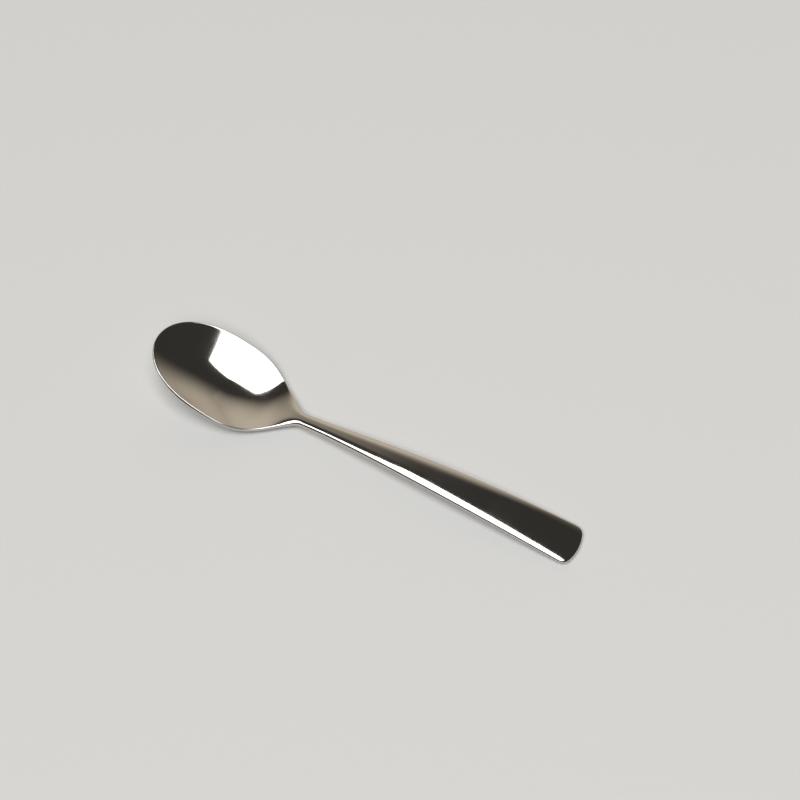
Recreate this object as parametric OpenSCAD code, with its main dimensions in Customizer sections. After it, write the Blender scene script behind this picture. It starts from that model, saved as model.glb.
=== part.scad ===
/* [Overall] */
// Length from the tip of the bowl to the end of the handle
spoon_length = 140; // [125:1:170]

/* [Bowl] */
// Full width of the bowl over its rim
bowl_width = 28; // [24:0.5:34]
// Distance from the tip to the widest place of the bowl
bowl_widest = 22.5; // [18:0.5:27]
// Depth of the dish below the rim at the widest place
bowl_depth = 4.3; // [3:0.1:8]
// Thickness of the rim, which has rounded corners
rim_thickness = 1; // [0.6:0.1:1.4]
// Metal added to the rim's thickness at the bottom of the bowl
bottom_gain = 0.5; // [0.2:0.1:1]
// Distance from the tip to where the sheet starts to thicken
heel_start = 36; // [30:0.5:42]

/* [Neck] */
// Distance from the tip to the narrowest place
neck_position = 49.5; // [46:0.5:56]
// Width at the narrowest place
neck_width = 4.4; // [3.6:0.1:6]
// Height of the rounded side of the neck
neck_side = 2.2; // [1.4:0.1:2.8]
// Height of the neck's crown above its rounded side
neck_crown = 0.18; // [0.1:0.01:0.8]
// Depth of the neck's belly below its rounded side
neck_belly = 0.3; // [0.1:0.05:0.6]
// Distance from the narrowest place to where the handle begins
neck_reach = 17; // [10:0.5:24]

/* [Handle] */
// Width that the two sides run out to at the end
handle_width = 13.3; // [10:0.1:16]
// Length over which the sides turn from parallel to flaring
flare_length = 13.5; // [6:0.5:20]
// Thickness of the edge at the end of the handle
end_edge = 1.6; // [1:0.1:2]
// Height of the crown above the edge at the end of the handle
end_crown = 0.27; // [0.1:0.01:0.5]
// Depth of the belly below the edge at the end of the handle
end_belly = 0.05; // [0.05:0.05:0.3]
// Radius of the arc that closes the end, seen from above
end_radius = 14.5; // [12:0.5:24]
// Length over which each side turns into that arc
corner_length = 3.8; // [1:0.1:5]

/* [Side view] */
// Distance from the tip to the highest place of the handle
crest_position = 87.8; // [75:0.1:95]
// Height of the handle's edge there
crest_height = 4.5; // [3:0.1:8]
// Height of the handle's edge at the end
end_height = 0.7; // [0.5:0.1:1.2]
// Distance from the tip to where the bowl turns upwards
pitch_position = 37.5; // [34:0.5:42]
// Length over which it turns upwards
pitch_length = 4; // [2:0.5:8]

/* [Hidden] */

// How blunt the tip is, the two exponents of the heel, and the sides' swell
tip_share = 2.4;
heel_share = 2.8;
shoulder_share = 2;
swell_share = 0.56;
// How square the section of the bowl's rim is, where 2 is round
rim_share = 4;
// Rise of the bowl's rim for each unit towards the tip
pitch_share = 0.53;
// How much deeper the dish gets towards the tip, and how much of that it loses again
lean_share = 0.9;
bend_share = 1.4;
// How flat the crown is between its edges
crown_share = 4;

rim_radius = rim_thickness / 2;
neck_radius = neck_side / 2;
end_edge_radius = end_edge / 2;
rim_half = bowl_width / 2 - rim_radius;
neck_half = neck_width / 2 - neck_radius;
handle_half = handle_width / 2 - end_edge_radius;
handle_start = neck_position + neck_reach;
end_start = spoon_length - handle_width;
last_x = spoon_length - end_edge_radius;

// Rings along each stretch, and steps across a face and round an edge
tip_rings = 20;
heel_rings = 22;
neck_rings = 10;
handle_rings = 14;
end_rings = 18;
face_steps = 20;
edge_steps = 6;
ring_points = 2 * (face_steps + edge_steps);

function ease(t) =
    t <= 0 ? 0 :
    t >= 1 ? 1 :
    t * t * t * (10 - 15 * t + 6 * t * t);

// Zero well below 0 and u well above it, rounded over the length k
function ramp(u, k) = (u + sqrt(u * u + k * k)) / 2;

function softer_min(a, b, k) =
    min(a, b) - pow(max(0, k - abs(a - b)) / k, 3) * k / 6;

// Radius of the rounded edge
function edge_radius(x) =
    rim_radius
    + (neck_radius - rim_radius)
      * ease((x - heel_start) / (neck_position - heel_start))
    + (end_edge_radius - neck_radius)
      * ease((x - neck_position) / (spoon_length - neck_position));

// Share of the bowl's width and depth that is left behind its widest place
function bowl_left(x) =
    let (t = (x - bowl_widest) / (neck_position - bowl_widest))
    t <= 0 ? 1 :
    t >= 1 ? 0 :
    pow(1 - pow(t, heel_share), shoulder_share);

function front_half(x) =
    let (t = 1 - (x - rim_radius) / (bowl_widest - rim_radius))
    rim_half * sqrt(max(0, 1 - pow(max(0, t), tip_share)));

// How far the handle has widened, from 0 at the neck to 1 at the end
function widening(x) =
    let (u = max(0, x - neck_position),
         full = spoon_length - neck_position,
         t = (norm([u, flare_length]) - flare_length)
             / (norm([full, flare_length]) - flare_length))
    t * (1 + swell_share * (1 - t));

function side_half(x) =
    x < bowl_widest ? front_half(x) :
    neck_half + (rim_half - neck_half) * bowl_left(x)
    + (handle_half - neck_half) * widening(x);

function arc_half(x) =
    let (r = end_radius - end_edge_radius, u = min(r, last_x - x))
    sqrt(max(0, 2 * r * u - u * u));

// Half width to the centre of the rounded edge
function half_width(x) =
    x < end_start ? side_half(x) :
    max(0, softer_min(side_half(x), arc_half(x), corner_length));

// Share of the full width, squared: it fades the faces out at both ends
function width_share(x) =
    pow(half_width(x) / (x < bowl_widest ? rim_half : side_half(x)), 2);

function edge_height(x) =
    crest_height
    - (crest_height - end_height)
      * pow((x - crest_position) / (spoon_length - crest_position), 2)
    + pitch_share * ramp(pitch_position - x, pitch_length);

function dish_depth(x) =
    let (t = (x - bowl_widest) / (neck_position - bowl_widest))
    bowl_depth * max(0, 1 - lean_share * t - bend_share * pow(min(0, t), 2));

function crown(x) =
    neck_crown * ease((x - heel_start) / (neck_position - heel_start))
    + (end_crown - neck_crown)
      * ease((x - neck_position) / (end_start - neck_position));

function belly(x) =
    bottom_gain
    + (neck_belly - bottom_gain)
      * ease((x - heel_start) / (neck_position - heel_start))
    + (end_belly - neck_belly)
      * ease((x - neck_position) / (end_start - neck_position));

// Fall of the dish below the rim, where s is the share of its plan
function dish(x, s) = dish_depth(x) * s;

// Stations from the tip to the end, close together at both ends
tip_x = [for (i = [0 : tip_rings])
    rim_radius + (bowl_widest - rim_radius) * (1 - cos(90 * i / tip_rings))];
heel_x = [for (i = [1 : heel_rings])
    bowl_widest + (neck_position - bowl_widest) * i / heel_rings];
neck_x = [for (i = [1 : neck_rings])
    neck_position + neck_reach * i / neck_rings];
handle_x = [for (i = [1 : handle_rings])
    handle_start + (end_start - handle_start) * i / handle_rings];
end_x = [for (i = [1 : end_rings])
    end_start + (last_x - end_start) * sin(90 * i / end_rings)];
stations = concat(tip_x, heel_x, neck_x, handle_x, end_x);
last = len(stations) - 1;
neck_ring = tip_rings + heel_rings;
handle_ring = neck_ring + neck_rings;
end_ring = handle_ring + handle_rings;

// Centre line of the rounded edge, on one side
edge = [for (i = [0 : last])
    [stations[i], i == 0 || i == last ? 0 : half_width(stations[i])]];

function mirrored(p) = [p[0], -p[1]];

// Direction along the edge, with the other side's point beyond each end
function edge_run(i) =
    i == 0 ? edge[1] - mirrored(edge[1]) :
    i == last ? mirrored(edge[last - 1]) - edge[last - 1] :
    edge[i + 1] - edge[i - 1];

// Outward direction in plan: square to the edge round both ends, and
// straight across in between, so that those rings stay flat
function outward(i) =
    let (run = edge_run(i))
    i <= tip_rings || i > end_ring
    ? [-run[1], run[0]] / norm(run)
    : [0, norm(run) / run[0]];

// Half width times the slant of the edge, which stays finite at both ends
function edge_reach(i) =
    let (a = edge[max(0, i - 1)], b = edge[min(last, i + 1)],
         growth = (b[1] * b[1] - a[1] * a[1]) / (b[0] - a[0]) / 2)
    norm([edge[i][1], growth]);

// Angle at which a face meets the edge, from its rise at full width
function face_angle(i, rise) =
    let (x = stations[i],
         full = x < bowl_widest ? rim_half : side_half(x),
         reach = edge_reach(i),
         first = atan(2 * rise * reach / (full * full)),
         inset = edge_radius(x) * sin(first))
    atan(tan(first) * reach / (reach - inset));

function edge_rise(x) = dish(x, pow(bowl_left(x), 2));

// Exponent of the edge's section: squarer round the bowl, round from the neck on
function squareness(x) =
    2 + (rim_share - 2)
      * (1 - pow(ease((x - heel_start) / (neck_position - heel_start)), 2));

// Point of that section, out and up from its centre, where t runs from 0 at the
// top face to 1 at the bottom face
function edge_point(x, t, top_angle, low_angle) =
    let (r = edge_radius(x),
         power = 2 / squareness(x),
         turn = 90 - 180 * t,
         lean = top_angle + (low_angle - top_angle) * t,
         side = r * pow(cos(turn), power),
         up = r * sign(turn) * pow(abs(sin(turn)), power))
    [side * cos(lean) - up * sin(lean), side * sin(lean) + up * cos(lean)];

// One ring: top face, far edge, bottom face, near edge
function ring(i) =
    let (x = stations[i],
         y = edge[i][1],
         z = edge_height(x),
         r = edge_radius(x),
         out = outward(i),
         share = width_share(x),
         left = pow(bowl_left(x), 2),
         top_angle = face_angle(i, edge_rise(x) - crown(x) * crown_share / 2),
         low_angle = face_angle(i, edge_rise(x) + belly(x)),
         top_x = x - out[0] * r * sin(top_angle),
         top_y = y - out[1] * r * sin(top_angle),
         low_x = x + out[0] * r * sin(low_angle),
         low_y = y + out[1] * r * sin(low_angle),
         side = [for (j = [1 : edge_steps - 1])
             edge_point(x, j / edge_steps, top_angle, low_angle)])
    concat(
        [for (j = [0 : face_steps])
            let (v = 1 - 2 * j / face_steps, s = share * (1 - v * v),
                 rise = crown(x) * share * (1 - pow(abs(v), crown_share)))
            [top_x, v * top_y, z + r * cos(top_angle) - dish(x, left * s) + rise]],
        [for (p = side) [x + out[0] * p[0], -y - out[1] * p[0], z + p[1]]],
        [for (j = [0 : face_steps])
            let (v = 2 * j / face_steps - 1, s = share * (1 - v * v))
            [low_x, v * low_y,
             z - r * cos(low_angle) - dish(x, left * s) - belly(x) * s]],
        [for (j = [len(side) - 1 : -1 : 0])
            let (p = side[j])
            [x + out[0] * p[0], y + out[1] * p[0], z + p[1]]]);

rings = [for (i = [0 : last]) ring(i)];
table_height = min([for (r = rings) min([for (p = r) p[2]])]);

// At the tip and the end a ring folds flat, and its two sides share points
function folded(j) =
    j <= face_steps ? 0 :
    j < face_steps + edge_steps ? ring_points - (j - face_steps) :
    j <= 2 * face_steps + edge_steps ? face_steps + edge_steps :
    j;

function corner(i, first_ring, j) =
    let (k = j % ring_points)
    (i - first_ring) * ring_points + (i == 0 || i == last ? folded(k) : k);

function distinct(t) = t[0] != t[1] && t[1] != t[2] && t[2] != t[0];

// The stretch of the spoon between two rings, closed flat where it is cut
module stretch(a, b) {
    points = [for (i = [a : b], p = rings[i])
        [p[0] - spoon_length / 2, p[1], p[2] - table_height]];
    skin = [for (i = [a : b - 1], j = [0 : ring_points - 1])
        let (p = corner(i, a, j), q = corner(i, a, j + 1),
             r = corner(i + 1, a, j + 1), s = corner(i + 1, a, j))
        each [[p, r, q], [p, s, r]]];
    start_cap = a == 0 ? [] : [[for (j = [0 : ring_points - 1]) j]];
    end_cap = b == last ? [] :
        [[for (j = [ring_points - 1 : -1 : 0]) (b - a) * ring_points + j]];
    polyhedron(points,
        concat([for (t = skin) if (distinct(t)) t], start_cap, end_cap));
}

module bowl() {
    color("silver") stretch(0, neck_ring);
}

module neck() {
    color("darkgray") stretch(neck_ring, handle_ring);
}

module handle() {
    color("lightgray") stretch(handle_ring, last);
}

bowl();
neck();
handle();
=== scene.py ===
import math

import bpy
import numpy as np
from mathutils import Matrix, Vector


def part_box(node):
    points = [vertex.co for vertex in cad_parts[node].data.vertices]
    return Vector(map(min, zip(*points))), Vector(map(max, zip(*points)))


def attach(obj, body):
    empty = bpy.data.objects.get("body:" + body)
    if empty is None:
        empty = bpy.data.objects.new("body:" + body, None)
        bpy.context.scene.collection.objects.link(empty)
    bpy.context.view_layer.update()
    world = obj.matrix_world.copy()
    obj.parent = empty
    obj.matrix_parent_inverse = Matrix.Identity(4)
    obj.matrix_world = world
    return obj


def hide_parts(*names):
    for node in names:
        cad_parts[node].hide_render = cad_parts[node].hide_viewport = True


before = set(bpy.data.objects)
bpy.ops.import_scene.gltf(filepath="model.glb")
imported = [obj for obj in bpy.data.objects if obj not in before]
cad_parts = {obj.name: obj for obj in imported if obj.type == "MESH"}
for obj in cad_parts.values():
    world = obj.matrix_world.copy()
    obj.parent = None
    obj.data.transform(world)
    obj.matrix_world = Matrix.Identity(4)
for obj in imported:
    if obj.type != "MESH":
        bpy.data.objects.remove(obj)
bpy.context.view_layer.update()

# The spoon's sizes are in millimetres, and its places are measured from the bowl's tip along x
MM = 0.001
LENGTH = 140.0
BOWL_WIDTH = 28.0
TIP_AT = -LENGTH / 2 * MM
NECK_POSITION = (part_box("bowl")[1].x - TIP_AT) / MM
HANDLE_START = (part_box("handle")[0].x - TIP_AT) / MM

BOWL_WIDEST = 22.5
BOWL_DEPTH = 4.3
HEEL_START = 36.0
RIM_RADIUS = 0.5
NECK_RADIUS = 1.1
END_RADIUS = 0.8
NECK_WIDTH = 4.4
HANDLE_WIDTH = 13.3
FLARE_LENGTH = 13.5
END_ARC_RADIUS = 14.5
CORNER_LENGTH = 3.8
CREST_POSITION = 87.8
CREST_HEIGHT = 4.5
END_HEIGHT = 0.7
PITCH_POSITION = 37.5
PITCH_LENGTH = 4.0
BOWL_BELLY, NECK_BELLY, END_BELLY = 0.5, 0.3, 0.05
BOWL_CROWN, NECK_CROWN, END_CROWN = 0.0, 0.18, 0.27

# Shares and exponents that shape the curves between the sizes
TIP_SHARE = 2.4
HEEL_SHARE = 2.8
SHOULDER_SHARE = 2.0
SWELL_SHARE = 0.56
PITCH_SHARE = 0.53
LEAN_SHARE = 0.9
BEND_SHARE = 1.4
RIM_SHARE = 4.0
ROUND_SHARE = 2.0
CROWN_SHARE = 4.0

RIM_HALF = BOWL_WIDTH / 2 - RIM_RADIUS
NECK_HALF = NECK_WIDTH / 2 - NECK_RADIUS
HANDLE_HALF = HANDLE_WIDTH / 2 - END_RADIUS
END_START = LENGTH - HANDLE_WIDTH
LAST_X = LENGTH - END_RADIUS

# Rings along each stretch, and steps across a face and round an edge
TIP_RINGS, HEEL_RINGS, NECK_RINGS, HANDLE_RINGS, END_RINGS = 60, 84, 36, 56, 60
FACE_STEPS, EDGE_STEPS = 64, 14
RING_POINTS = 2 * (FACE_STEPS + EDGE_STEPS)
NECK_RING = TIP_RINGS + HEEL_RINGS
HANDLE_RING = NECK_RING + NECK_RINGS
END_RING = HANDLE_RING + HANDLE_RINGS
LAST_RING = END_RING + END_RINGS

# Sides, areas and sums below these count as nothing when the normals are worked out
NO_SIDES, NO_AREA, NO_SUM = 1e-15, 1e-18, 1e-12


def ease(t):
    """From 0 to 1 with no bend at either end."""
    t = min(1.0, max(0.0, t))
    return t ** 3 * (10 - 15 * t + 6 * t * t)


def heel_ease(x):
    """0 in the bowl, 1 from the narrowest place on."""
    return ease((x - HEEL_START) / (NECK_POSITION - HEEL_START))


def blend(bowl, neck, end, x):
    """The bowl's value up to the heel, then the neck's, then the end's."""
    return (bowl + (neck - bowl) * heel_ease(x)
            + (end - neck) * ease((x - NECK_POSITION) / (END_START - NECK_POSITION)))


def edge_radius(x):
    """Half the thickness of the edge."""
    return (RIM_RADIUS + (NECK_RADIUS - RIM_RADIUS) * heel_ease(x)
            + (END_RADIUS - NECK_RADIUS) * ease((x - NECK_POSITION) / (LENGTH - NECK_POSITION)))


def bowl_left(x):
    """Share of the bowl's width that is left behind its widest place."""
    t = min(1.0, max(0.0, (x - BOWL_WIDEST) / (NECK_POSITION - BOWL_WIDEST)))
    return (1 - t ** HEEL_SHARE) ** SHOULDER_SHARE


def widening(x):
    """Share of the handle's width gained since the neck."""
    u, full = max(0.0, x - NECK_POSITION), LENGTH - NECK_POSITION
    t = ((math.hypot(u, FLARE_LENGTH) - FLARE_LENGTH)
         / (math.hypot(full, FLARE_LENGTH) - FLARE_LENGTH))
    return t * (1 + SWELL_SHARE * (1 - t))


def side_half(x):
    """Half width of the long sides, before the handle's end closes them."""
    if x < BOWL_WIDEST:
        t = max(0.0, 1 - (x - RIM_RADIUS) / (BOWL_WIDEST - RIM_RADIUS))
        return RIM_HALF * math.sqrt(max(0.0, 1 - t ** TIP_SHARE))
    return (NECK_HALF + (RIM_HALF - NECK_HALF) * bowl_left(x)
            + (HANDLE_HALF - NECK_HALF) * widening(x))


def full_half(x):
    """Half width that the rise of the faces is measured against."""
    return RIM_HALF if x < BOWL_WIDEST else side_half(x)


def half_width(x):
    """Half width to the centre of the edge, with the end's arc and soft corners."""
    side = side_half(x)
    if x < END_START:
        return side
    r = END_ARC_RADIUS - END_RADIUS
    u = min(r, LAST_X - x)
    arc = math.sqrt(max(0.0, 2 * r * u - u * u))
    near = max(0.0, CORNER_LENGTH - abs(side - arc)) / CORNER_LENGTH
    return max(0.0, min(side, arc) - near ** 3 * CORNER_LENGTH / 6)


def edge_height(x):
    """Side view: the arch of the handle, and the bowl turned up towards its tip."""
    back = (x - CREST_POSITION) / (LENGTH - CREST_POSITION)
    u = PITCH_POSITION - x
    return (CREST_HEIGHT - (CREST_HEIGHT - END_HEIGHT) * back * back
            + PITCH_SHARE * (u + math.hypot(u, PITCH_LENGTH)) / 2)


def dish_depth(x):
    """Depth of the bowl under its rim."""
    t = (x - BOWL_WIDEST) / (NECK_POSITION - BOWL_WIDEST)
    return BOWL_DEPTH * max(0.0, 1 - LEAN_SHARE * t - BEND_SHARE * min(0.0, t) ** 2)


def stations():
    """Places of the rings, close together at both ends."""
    quarter = math.pi / 2
    tip = [RIM_RADIUS + (BOWL_WIDEST - RIM_RADIUS) * (1 - math.cos(quarter * i / TIP_RINGS))
           for i in range(TIP_RINGS + 1)]
    spans = ((BOWL_WIDEST, NECK_POSITION, HEEL_RINGS),
             (NECK_POSITION, HANDLE_START, NECK_RINGS),
             (HANDLE_START, END_START, HANDLE_RINGS))
    middle = [a + (b - a) * i / n for a, b, n in spans for i in range(1, n + 1)]
    end = [END_START + (LAST_X - END_START) * math.sin(quarter * i / END_RINGS)
           for i in range(1, END_RINGS + 1)]
    return tip + middle + end


STATIONS = stations()
EDGE = [(x, 0.0 if i in (0, LAST_RING) else half_width(x)) for i, x in enumerate(STATIONS)]


def outward(i):
    """Square to the edge round both ends, straight across in between."""
    before = EDGE[i - 1] if i > 0 else (EDGE[1][0], -EDGE[1][1])
    after = EDGE[i + 1] if i < LAST_RING else (EDGE[i - 1][0], -EDGE[i - 1][1])
    run_x, run_y = after[0] - before[0], after[1] - before[1]
    run = math.hypot(run_x, run_y)
    if i <= TIP_RINGS or i > END_RING:
        return -run_y / run, run_x / run
    return 0.0, run / run_x


def face_angle(i, rise):
    """Angle at which a face meets the edge, from its rise at full width."""
    x = STATIONS[i]
    a, b = EDGE[max(0, i - 1)], EDGE[min(LAST_RING, i + 1)]
    growth = (b[1] ** 2 - a[1] ** 2) / (b[0] - a[0]) / 2
    reach = math.hypot(EDGE[i][1], growth)
    first = math.atan(2 * rise * reach / full_half(x) ** 2)
    inset = edge_radius(x) * math.sin(first)
    return math.atan(math.tan(first) * reach / (reach - inset))


def squareness(x):
    """Exponent of the edge's section: squarer round the bowl, round from the neck on."""
    return ROUND_SHARE + (RIM_SHARE - ROUND_SHARE) * (1 - heel_ease(x) ** 2)


def edge_section(x, top, low):
    """Points of the rounded edge from the top face to the bottom one, out and up."""
    r, power = edge_radius(x), 2 / squareness(x)
    section = []
    for j in range(1, EDGE_STEPS):
        turn = math.pi * (0.5 - j / EDGE_STEPS)
        lean = low + (top - low) * (1 - j / EDGE_STEPS)
        out = r * math.cos(turn) ** power
        up = r * math.copysign(abs(math.sin(turn)) ** power, turn)
        section.append((out * math.cos(lean) - up * math.sin(lean),
                        out * math.sin(lean) + up * math.cos(lean)))
    return section


def ring(i):
    """Points of one ring: top face, far edge, bottom face, near edge."""
    x, y = EDGE[i]
    z, r = edge_height(x), edge_radius(x)
    out_x, out_y = outward(i)
    share = (y / full_half(x)) ** 2
    dish = dish_depth(x) * bowl_left(x) ** 2
    crown = blend(BOWL_CROWN, NECK_CROWN, END_CROWN, x)
    belly = blend(BOWL_BELLY, NECK_BELLY, END_BELLY, x)
    top = face_angle(i, dish - crown * CROWN_SHARE / 2)
    low = face_angle(i, dish + belly)
    edge = edge_section(x, top, low)

    points = []
    for j in range(FACE_STEPS + 1):
        v = 1 - 2 * j / FACE_STEPS
        s = share * (1 - v * v)
        points.append((x - out_x * r * math.sin(top), v * (y - out_y * r * math.sin(top)),
                       z + r * math.cos(top) - dish * s
                       + crown * share * (1 - abs(v) ** CROWN_SHARE)))
    points += [(x + out_x * out, -y - out_y * out, z + up) for out, up in edge]
    for j in range(FACE_STEPS + 1):
        v = 2 * j / FACE_STEPS - 1
        s = share * (1 - v * v)
        points.append((x + out_x * r * math.sin(low), v * (y + out_y * r * math.sin(low)),
                       z - r * math.cos(low) - dish * s - belly * s))
    points += [(x + out_x * out, y + out_y * out, z + up) for out, up in reversed(edge)]
    return points


RINGS = np.array([ring(i) for i in range(LAST_RING + 1)])
RINGS[:, :, 2] -= RINGS[:, :, 2].min()
RINGS *= MM
RINGS[:, :, 0] += TIP_AT
POINTS = RINGS.reshape(-1, 3)


def folded(j):
    """At the tip and the end a ring folds flat and its two sides share points."""
    if j <= FACE_STEPS:
        return 0
    if j < FACE_STEPS + EDGE_STEPS:
        return RING_POINTS - (j - FACE_STEPS)
    if j <= 2 * FACE_STEPS + EDGE_STEPS:
        return FACE_STEPS + EDGE_STEPS
    return j


def corner(i, j):
    """Number of a ring's point in the whole spoon."""
    j %= RING_POINTS
    return i * RING_POINTS + (folded(j) if i in (0, LAST_RING) else j)


def skin(a, b):
    """Faces between two rings, without the corners that fall together."""
    faces = []
    for i in range(a, b):
        for j in range(RING_POINTS):
            loop = (corner(i, j), corner(i, j + 1), corner(i + 1, j + 1), corner(i + 1, j))
            kept = tuple(dict.fromkeys(loop))
            if len(kept) > 2:
                faces.append(kept)
    return faces


def whole_normals():
    """Smooth normals of the uncut spoon, so that no seam shows where it is cut."""
    normals = np.zeros_like(POINTS)
    for face in skin(0, LAST_RING):
        corners = POINTS[list(face)]
        for k, number in enumerate(face):
            before = corners[k - 1] - corners[k]
            after = corners[(k + 1) % len(face)] - corners[k]
            sides = np.linalg.norm(before) * np.linalg.norm(after)
            if sides < NO_SIDES:
                continue
            normal = np.cross(after, before)
            area = np.linalg.norm(normal)
            if area > NO_AREA:
                angle = math.acos(max(-1.0, min(1.0, float(before @ after) / sides)))
                normals[number] += normal / area * angle
    sums = np.linalg.norm(normals, axis=1, keepdims=True)
    return normals / np.maximum(sums, NO_SUM)


NORMALS = whole_normals()


def stretch(name, a, b, node, material):
    """The piece of the spoon between two rings, closed flat where it is cut."""
    faces = skin(a, b)
    smooth = len(faces)
    if a > 0:
        faces.append(tuple(corner(a, j) for j in reversed(range(RING_POINTS))))
    if b < LAST_RING:
        faces.append(tuple(corner(b, j) for j in range(RING_POINTS)))
    used = sorted({number for face in faces for number in face})
    order = {number: k for k, number in enumerate(used)}
    mesh = bpy.data.meshes.new(name)
    mesh.from_pydata([tuple(p) for p in POINTS[used]], [],
                     [[order[number] for number in face] for face in faces])
    mesh.validate()
    mesh.update()
    loop_normals = []
    for k, polygon in enumerate(mesh.polygons):
        polygon.use_smooth = True
        for loop in polygon.loop_indices:
            number = used[mesh.loops[loop].vertex_index]
            loop_normals.append(tuple(NORMALS[number]) if k < smooth else tuple(polygon.normal))
    mesh.normals_split_custom_set(loop_normals)
    mesh.materials.append(material)
    piece = bpy.data.objects.new(name, mesh)
    bpy.context.scene.collection.objects.link(piece)
    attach(piece, "root")
    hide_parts(node)


class Nodes:
    """A short way to write a node tree."""

    # Sockets of the Mix node when it mixes colours
    MIX_SHARE, MIX_FIRST, MIX_SECOND, MIX_RESULT = 0, 6, 7, 2

    def __init__(self, tree):
        self.tree = tree

    def add(self, kind, inputs=(), **settings):
        node = self.tree.nodes.new(kind)
        for name, value in settings.items():
            setattr(node, name, value)
        for key, value in dict(inputs).items():
            if isinstance(value, bpy.types.NodeSocket):
                self.tree.links.new(value, node.inputs[key])
            else:
                node.inputs[key].default_value = value
        return node.outputs

    def math(self, operation, *values):
        return self.add("ShaderNodeMath", enumerate(values), operation=operation)["Value"]

    def vector(self, operation, **inputs):
        """inputs: a and b are the two vectors, Scale the number of a SCALE."""
        places = {"a": 0, "b": 1}
        return self.add("ShaderNodeVectorMath",
                        {places.get(name, name): value for name, value in inputs.items()},
                        operation=operation)

    def spread(self, value, low, high, start, end, curve="SMOOTHSTEP"):
        """value from low to high turned into start to end, and held there beyond."""
        return self.add("ShaderNodeMapRange",
                        {"Value": value, "From Min": low, "From Max": high,
                         "To Min": start, "To Max": end}, interpolation_type=curve)["Result"]

    def mix(self, share, first, second):
        return self.add("ShaderNodeMix", {self.MIX_SHARE: share, self.MIX_FIRST: first,
                                          self.MIX_SECOND: second},
                        data_type="RGBA")[self.MIX_RESULT]


# Wear of the steel. Scales are per metre along x, y and z, turns are in degrees
SMUDGE_SCALE, SMUDGE_RANGE = (70, 90, 90), (0.42, 0.66)
HAIRLINE_SCALE = (260, 9000, 9000)
CROSS_LINE_SCALE, CROSS_LINE_TURN, CROSS_LINE_LEVEL = (7000, 320, 7000), 32, 0.6
FINE_RANGE = (0.55, 1.05)
WAVE_SCALE = (160, 210, 210)
NICK_SCALE, NICK_TURN, NICK_RANGE = (1500, 5200, 5200), -14, (0.66, 0.74)
POLISH_ROUGHNESS, SMUDGE_ROUGHNESS, NICK_ROUGHNESS = (0.045, 0.08), 0.035, 0.1
STEEL_COLOUR = (0.635, 0.612, 0.578, 1)
SMUDGE_COLOUR, SMUDGE_LEVEL = (0.58, 0.553, 0.515, 1), 0.35
NICK_COLOUR, NICK_LEVEL = (0.5, 0.48, 0.45, 1), 0.3
FINE_RELIEF, WAVE_RELIEF, NICK_RELIEF = 0.012, 0.3, 0.01
BUMP_STRENGTH, BUMP_DISTANCE = 0.35, 0.06 * MM


def polished_steel():
    """Stamped and polished steel: hairlines along the spoon, smudges and fine scratches."""
    material = bpy.data.materials.new("polished_steel_worn")
    material.use_nodes = True
    nodes = Nodes(material.node_tree)
    shader = material.node_tree.nodes["Principled BSDF"]
    place = nodes.add("ShaderNodeTexCoord")["Object"]

    def noise(scales, detail, roughness, turn=0.0):
        mapped = nodes.add("ShaderNodeMapping", {"Vector": place, "Scale": scales,
                                                 "Rotation": (0, 0, math.radians(turn))})
        return nodes.add("ShaderNodeTexNoise", {"Vector": mapped["Vector"], "Scale": 1.0,
                                                "Detail": detail, "Roughness": roughness})[0]

    def scaled(value, factor):
        return nodes.math("MULTIPLY", value, factor)

    smudges = noise(SMUDGE_SCALE, detail=4, roughness=0.55)
    smudges = nodes.spread(smudges, *SMUDGE_RANGE, 0, 1)
    hairlines = noise(HAIRLINE_SCALE, detail=2, roughness=0.6)
    cross_lines = noise(CROSS_LINE_SCALE, detail=2, roughness=0.6, turn=CROSS_LINE_TURN)
    waves = noise(WAVE_SCALE, detail=2, roughness=0.4)
    nicks = noise(NICK_SCALE, detail=3, roughness=0.65, turn=NICK_TURN)
    nicks = nodes.spread(nicks, *NICK_RANGE, 0, 1)

    fine = nodes.math("ADD", hairlines, scaled(cross_lines, CROSS_LINE_LEVEL))
    rough = nodes.math("ADD", nodes.spread(fine, *FINE_RANGE, *POLISH_ROUGHNESS),
                       scaled(smudges, SMUDGE_ROUGHNESS))
    rough = nodes.math("ADD", rough, scaled(nicks, NICK_ROUGHNESS))
    nodes.tree.links.new(rough, shader.inputs["Roughness"])

    colour = nodes.mix(scaled(smudges, SMUDGE_LEVEL), STEEL_COLOUR, SMUDGE_COLOUR)
    colour = nodes.mix(scaled(nicks, NICK_LEVEL), colour, NICK_COLOUR)
    nodes.tree.links.new(colour, shader.inputs["Base Color"])

    height = nodes.math("ADD", scaled(fine, FINE_RELIEF), scaled(waves, WAVE_RELIEF))
    height = nodes.math("SUBTRACT", height, scaled(nicks, NICK_RELIEF))
    bump = nodes.add("ShaderNodeBump", {"Height": height, "Strength": BUMP_STRENGTH,
                                        "Distance": BUMP_DISTANCE})["Normal"]
    nodes.tree.links.new(bump, shader.inputs["Normal"])
    shader.inputs["Metallic"].default_value = 1.0
    return material


steel = polished_steel()
stretch("bowl_shell", 0, NECK_RING, "bowl", steel)
stretch("neck_shank", NECK_RING, HANDLE_RING, "neck", steel)
stretch("handle_blade", HANDLE_RING, LAST_RING, "handle", steel)

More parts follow.
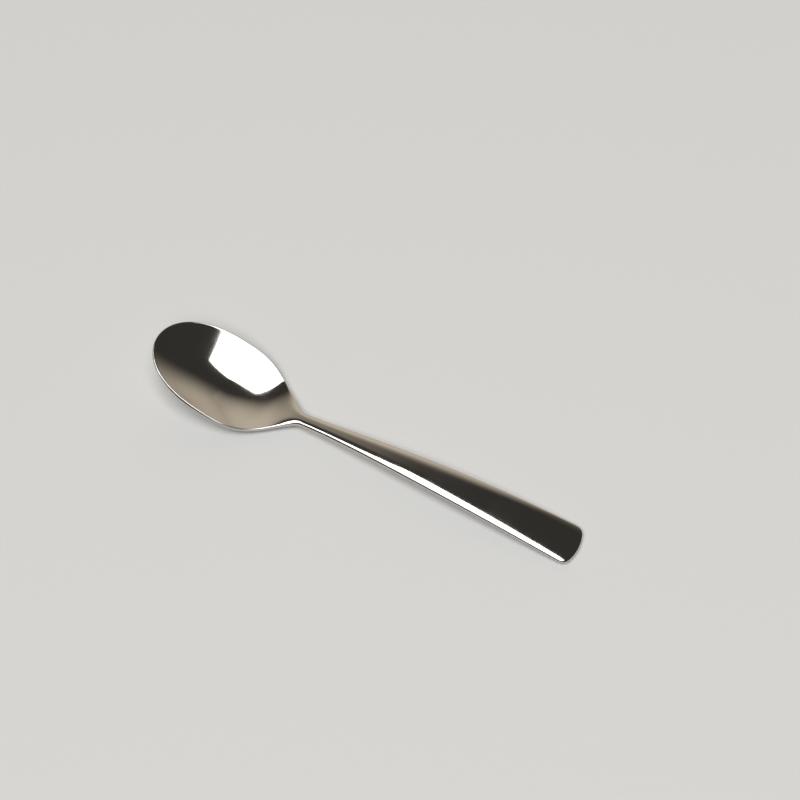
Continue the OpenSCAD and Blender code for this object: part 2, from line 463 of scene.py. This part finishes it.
# Camera at the photograph's angle
TARGET = Vector((1.15, 20.75, 0)) * MM
AZIMUTH, ELEVATION, DISTANCE = math.radians(27.31), math.radians(60.47), 569.0 * MM
FIELD_OF_VIEW = math.radians(24)
SENSOR_WIDTH = 36
NEAREST, FARTHEST = 0.01, 20
back = Vector((math.sin(AZIMUTH) * math.cos(ELEVATION),
               -math.cos(AZIMUTH) * math.cos(ELEVATION), math.sin(ELEVATION)))
camera_data = bpy.data.cameras.new("camera")
camera_data.sensor_width = SENSOR_WIDTH
camera_data.lens = SENSOR_WIDTH / 2 / math.tan(FIELD_OF_VIEW / 2)
camera_data.clip_start, camera_data.clip_end = NEAREST, FARTHEST
camera = bpy.data.objects.new("camera", camera_data)
camera.location = TARGET + back * DISTANCE
camera.rotation_mode = "QUATERNION"
camera.rotation_quaternion = (-back).to_track_quat("-Z", "Y")
bpy.context.scene.collection.objects.link(camera)
bpy.context.scene.camera = camera

# Plain pale floor
FLOOR_REACH = 3.0
FLOOR_COLOUR, FLOOR_ROUGHNESS = (0.66, 0.66, 0.65, 1), 0.8
floor_mesh = bpy.data.meshes.new("floor")
floor_mesh.from_pydata([(x * FLOOR_REACH, y * FLOOR_REACH, 0)
                        for x, y in ((-1, -1), (1, -1), (1, 1), (-1, 1))], [], [(0, 1, 2, 3)])
floor = bpy.data.objects.new("floor", floor_mesh)
bpy.context.scene.collection.objects.link(floor)
floor_material = bpy.data.materials.new("floor_pale")
floor_material.use_nodes = True
floor_shader = floor_material.node_tree.nodes["Principled BSDF"]
floor_shader.inputs["Base Color"].default_value = FLOOR_COLOUR
floor_shader.inputs["Roughness"].default_value = FLOOR_ROUGHNESS
floor_mesh.materials.append(floor_material)

# Softbox: a large rectangle overhead, lower on the camera's side. Its plane is square to
# BOX_BACK, and BOX_WIDE and BOX_TALL are its edges as shares of its distance
BOX_DISTANCE = 2.5
BOX_BACK = Vector((-0.319, -0.426, 0.846)).normalized()
BOX_ACROSS = Vector((0.926, -0.331, 0.183))
BOX_ACROSS = (BOX_ACROSS - BOX_ACROSS.dot(BOX_BACK) * BOX_BACK).normalized()
BOX_UP = BOX_BACK.cross(BOX_ACROSS)
BOX_WIDE, BOX_TALL = (-0.171, 0.897), (-0.196, 0.916)
BOX_LEVEL = 4.1
box_size = [(high - low) * BOX_DISTANCE for low, high in (BOX_WIDE, BOX_TALL)]
box_middle = BOX_BACK + BOX_ACROSS * sum(BOX_WIDE) / 2 + BOX_UP * sum(BOX_TALL) / 2
lamp_data = bpy.data.lights.new("softbox", "AREA")
lamp_data.shape = "RECTANGLE"
lamp_data.size, lamp_data.size_y = box_size
lamp_data.energy = BOX_LEVEL * math.pi * box_size[0] * box_size[1]
lamp = bpy.data.objects.new("softbox", lamp_data)
lamp.location = BOX_DISTANCE * box_middle
lamp.rotation_mode = "QUATERNION"
lamp.rotation_quaternion = Matrix((BOX_ACROSS, BOX_UP, BOX_BACK)).transposed().to_quaternion()
lamp.visible_camera = False
bpy.context.scene.collection.objects.link(lamp)

# Room: dark above, warm wall low behind the spoon, brighter to its left. The ranges are
# cosines of the angle away from each one's middle
WALL_MIDDLE, WALL_RANGE, WALL_POWER, WALL_LEVEL = (-0.034, 0.97, 0.241), (0.69, 1.0), 2.3, 0.485
PANEL_MIDDLE, PANEL_RANGE, PANEL_LEVEL = (-0.45, 0.775, 0.444), (0.784, 0.972), 0.6
WARM_COLOUR, DARK_COLOUR = (1.13, 1.0, 0.82), (0.044, 0.042, 0.038)
world = bpy.data.worlds.new("studio")
world.use_nodes = True
room = Nodes(world.node_tree)
looking = room.add("ShaderNodeTexCoord")["Generated"]


def towards(middle):
    """Cosine of the angle between the view and a direction."""
    return room.vector("DOT_PRODUCT", a=looking, b=Vector(middle).normalized())["Value"]


wall = room.spread(towards(WALL_MIDDLE), *WALL_RANGE, 0, 1, "LINEAR")
wall = room.math("MULTIPLY", room.math("POWER", wall, WALL_POWER), WALL_LEVEL)
panel = room.spread(towards(PANEL_MIDDLE), *PANEL_RANGE, 0, PANEL_LEVEL)
warm = room.vector("SCALE", a=WARM_COLOUR, Scale=room.math("MAXIMUM", wall, panel))["Vector"]
light = room.vector("ADD", a=warm, b=DARK_COLOUR)["Vector"]
world.node_tree.links.new(light, world.node_tree.nodes["Background"].inputs["Color"])
bpy.context.scene.world = world
bpy.context.scene.view_settings.view_transform = "Standard"
